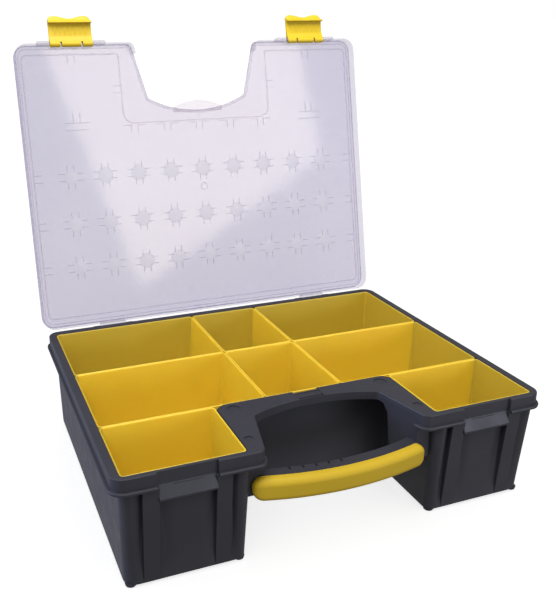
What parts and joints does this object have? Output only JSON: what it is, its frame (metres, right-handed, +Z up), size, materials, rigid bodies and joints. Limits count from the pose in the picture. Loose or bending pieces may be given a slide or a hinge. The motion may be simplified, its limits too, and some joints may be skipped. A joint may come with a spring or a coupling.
{
  "type": "parts organizer",
  "caption": "Deep carrying case for small parts: lift-out cups in a tray, hinged clear lid, snap latches and a grip in a recess.",
  "frame": {"origin": "on the floor, below the centre of the cup field", "axes": "+Z up, +X to the right as seen from the handle side, +Y from the handle to the hinge"},
  "size_m": [0.421, 0.4195, 0.4446],
  "materials": {
    "tray_plastic": "satin moulded polypropylene, charcoal",
    "grip_plastic": "satin moulded, yellow",
    "pin_steel": "drawn steel rod",
    "lid_plastic": "clear translucent moulding, glossy outside",
    "latch_plastic": "satin moulded, yellow",
    "cup_plastic": "satin moulded, golden yellow"
  },
  "bodies": {
    "case": {"base_tray": "tray_plastic", "handle_grip": "grip_plastic", "hinge_pin_left": "pin_steel", "hinge_pin_right": "pin_steel"},
    "lid": {"lid": "lid_plastic"},
    "latch_left": {"latch_left": "latch_plastic"},
    "latch_right": {"latch_right": "latch_plastic"},
    "cup_back_left": {"cup_back_left": "cup_plastic"},
    "cup_back_centre": {"cup_back_centre": "cup_plastic"},
    "cup_back_right": {"cup_back_right": "cup_plastic"},
    "cup_middle_left": {"cup_middle_left": "cup_plastic"},
    "cup_middle_centre": {"cup_middle_centre": "cup_plastic"},
    "cup_middle_right": {"cup_middle_right": "cup_plastic"},
    "cup_front_left": {"cup_front_left": "cup_plastic"},
    "cup_front_right": {"cup_front_right": "cup_plastic"}
  },
  "joints": [
    {"name": "lid_hinge", "type": "hinge", "parent": "case", "child": "lid", "pos_m": [0, 0.166, 0.1005], "axis": [-1, 0, 0], "range_deg": [-103, 0]},
    {"name": "latch_left_hinge", "type": "hinge", "parent": "lid", "child": "latch_left", "pos_m": [-0.1455, 0.24169, 0.41503], "axis": [-1, 0, 0], "range_deg": [-90, 45]},
    {"name": "latch_right_hinge", "type": "hinge", "parent": "lid", "child": "latch_right", "pos_m": [0.1455, 0.24169, 0.41503], "axis": [-1, 0, 0], "range_deg": [-90, 45]},
    {"name": "cup_back_left_lift", "type": "slide", "parent": "case", "child": "cup_back_left", "axis": [0, 0, 1], "range_m": [0, 0.11]},
    {"name": "cup_back_centre_lift", "type": "slide", "parent": "case", "child": "cup_back_centre", "axis": [0, 0, 1], "range_m": [0, 0.11]},
    {"name": "cup_back_right_lift", "type": "slide", "parent": "case", "child": "cup_back_right", "axis": [0, 0, 1], "range_m": [0, 0.11]},
    {"name": "cup_middle_left_lift", "type": "slide", "parent": "case", "child": "cup_middle_left", "axis": [0, 0, 1], "range_m": [0, 0.11]},
    {"name": "cup_middle_centre_lift", "type": "slide", "parent": "case", "child": "cup_middle_centre", "axis": [0, 0, 1], "range_m": [0, 0.11]},
    {"name": "cup_middle_right_lift", "type": "slide", "parent": "case", "child": "cup_middle_right", "axis": [0, 0, 1], "range_m": [0, 0.11]},
    {"name": "cup_front_left_lift", "type": "slide", "parent": "case", "child": "cup_front_left", "axis": [0, 0, 1], "range_m": [0, 0.11]},
    {"name": "cup_front_right_lift", "type": "slide", "parent": "case", "child": "cup_front_right", "axis": [0, 0, 1], "range_m": [0, 0.11]}
  ]
}
